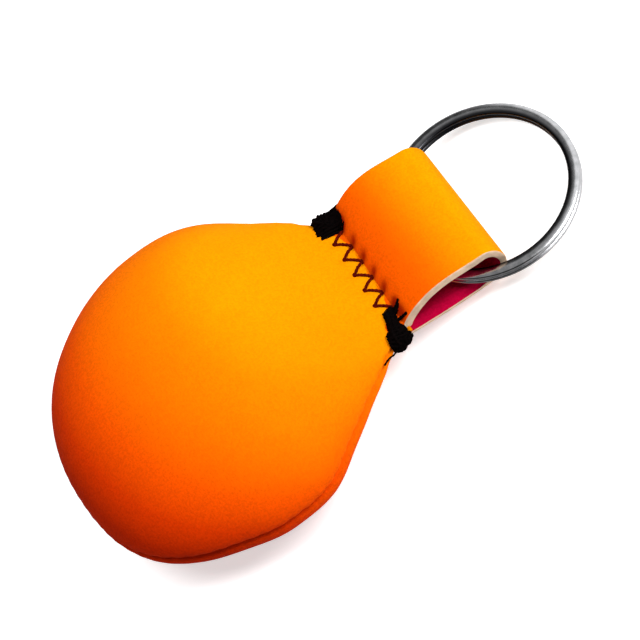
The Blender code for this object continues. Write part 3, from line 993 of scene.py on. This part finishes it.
def floor_sheet():
    """White floor, which the steel mirrors darker, most of all on the near side of the ring."""
    bpy.ops.object.select_all(action="DESELECT")
    bpy.ops.mesh.primitive_circle_add(vertices=96, radius=3.0, fill_type="NGON")
    item = bpy.context.object
    item.name = "floor"
    material, tree, shader = new_material("floor_white", 1.0)
    shader.inputs["Specular IOR Level"].default_value = 0.0
    shader.inputs["Emission Color"].default_value = (1.0, 1.0, 1.0, 1.0)
    rays = add_node(tree, "ShaderNodeLightPath").outputs
    x = axes_of(tree, add_node(tree, "ShaderNodeTexCoord").outputs["Object"])[0]
    (least, dark), (most, pale) = MIRRORED_FLOOR
    beyond = mapped(tree, x, MIRRORED_FLOOR_STARTS, MIRRORED_FLOOR_ENDS, least, most)
    mirrored = maths(tree, "MULTIPLY", rays["Is Glossy Ray"], beyond)
    seen = maths(tree, "MAXIMUM", rays["Is Camera Ray"], mirrored)
    tree.links.new(maths(tree, "MULTIPLY", seen, FLOOR_GLOW), shader.inputs["Emission Strength"])
    shade = ramp(tree, beyond, greys((least, dark), (most, pale)))
    plain = (FLOOR_WHITE, FLOOR_WHITE, FLOOR_WHITE, 1.0)
    tree.links.new(mixed(tree, "MIX", rays["Is Glossy Ray"], plain, shade), shader.inputs["Base Color"])
    item.data.materials.append(material)


SKY = ((0.0, 1.0), (0.18, 0.9), (0.45, 0.3), (0.68, 0.06), (0.79, 0.24), (0.88, 0.05))
OVERHEAD = ((0.0, 0.6), (0.12, 0.4), (0.3, 0.05), (0.76, 0.03), (0.87, 0.33), (0.96, 0.24))
PANEL = ((0.25, 0.0), (0.42, 1.0))
SKY_ON_CLOTH = 0.6


def studio_world():
    """Soft sky, and for the steel a white panel beyond the ring with darkness on the near side."""
    world = bpy.data.worlds.new("studio")
    bpy.context.scene.world = world
    world.use_nodes = True
    tree = world.node_tree
    tree.nodes.clear()
    x, y, z = axes_of(tree, add_node(tree, "ShaderNodeTexCoord").outputs["Generated"])
    sky = ramp(tree, z, greys(*SKY))
    nearside = mapped(tree, y, -0.7, -0.25, 0.3, 1.0)
    dimmed = mixed(tree, "MULTIPLY", 1.0, ramp(tree, z, greys(*OVERHEAD)), nearside)
    mirrored = mixed(tree, "LIGHTEN", 1.0, dimmed, ramp(tree, x, greys(*PANEL)))
    rays = add_node(tree, "ShaderNodeLightPath").outputs
    colour = mixed(tree, "MIX", rays["Is Glossy Ray"], sky, mirrored)
    strength = maths(tree, "MULTIPLY_ADD", rays["Is Diffuse Ray"], SKY_ON_CLOTH - 1.0, 1.0)
    background = add_node(tree, "ShaderNodeBackground", {}, {"Color": colour, "Strength": strength})
    out = add_node(tree, "ShaderNodeOutputWorld")
    tree.links.new(background.outputs[0], out.inputs["Surface"])


LAMP_AIM = Vector((10.0, 0.0, 5.0)) * MM


def soft_lamp(name, place, size, power, mirrored):
    lamp = bpy.data.lights.new(name, "AREA")
    lamp.shape = "DISK"
    lamp.size = size
    lamp.energy = power
    item = bpy.data.objects.new(name, lamp)
    bpy.context.scene.collection.objects.link(item)
    item.location = place
    item.rotation_euler = (LAMP_AIM - Vector(place)).to_track_quat("-Z", "Y").to_euler()
    item.visible_glossy = mirrored


floor_sheet()
studio_world()
soft_lamp("key", (0.52, -0.2, 0.5), 0.34, 4.6, mirrored=True)
soft_lamp("fill", (-0.08, 0.03, 0.9), 0.5, 5.0, mirrored=False)


# Camera at the photograph's viewing angle
CAMERA_AZIMUTH = math.radians(15.4)
CAMERA_ELEVATION = math.radians(54.1)
CAMERA_ROLL = math.radians(-52.0)
CAMERA_TARGET = Vector((17.0, 0.0, 7.0)) * MM
CAMERA_DISTANCE = 900.0 * MM
FOCAL_PIXELS = 6060.0
ASIDE = -0.64 * MM
UPWARD = 0.53 * MM
IMAGE_PIXELS = 640.0
SENSOR = 36.0


def photo_camera():
    turn = CAMERA_AZIMUTH
    lift = CAMERA_ELEVATION
    back = Vector((math.sin(turn) * math.cos(lift), -math.cos(turn) * math.cos(lift), math.sin(lift)))
    level = Vector((math.cos(turn), math.sin(turn), 0.0))
    up = back.cross(level)
    right = math.cos(CAMERA_ROLL) * level + math.sin(CAMERA_ROLL) * up
    top = back.cross(right)
    lens = bpy.data.cameras.new("photo_camera")
    lens.sensor_width = SENSOR
    lens.lens = FOCAL_PIXELS * SENSOR / IMAGE_PIXELS
    lens.clip_start = 0.01
    item = bpy.data.objects.new("photo_camera", lens)
    bpy.context.scene.collection.objects.link(item)
    axes = Matrix((right, top, back)).transposed().to_4x4()
    place = CAMERA_TARGET + CAMERA_DISTANCE * back - ASIDE * right - UPWARD * top
    item.matrix_world = Matrix.Translation(place) @ axes
    bpy.context.scene.camera = item


photo_camera()
bpy.context.scene.view_settings.view_transform = "Standard"
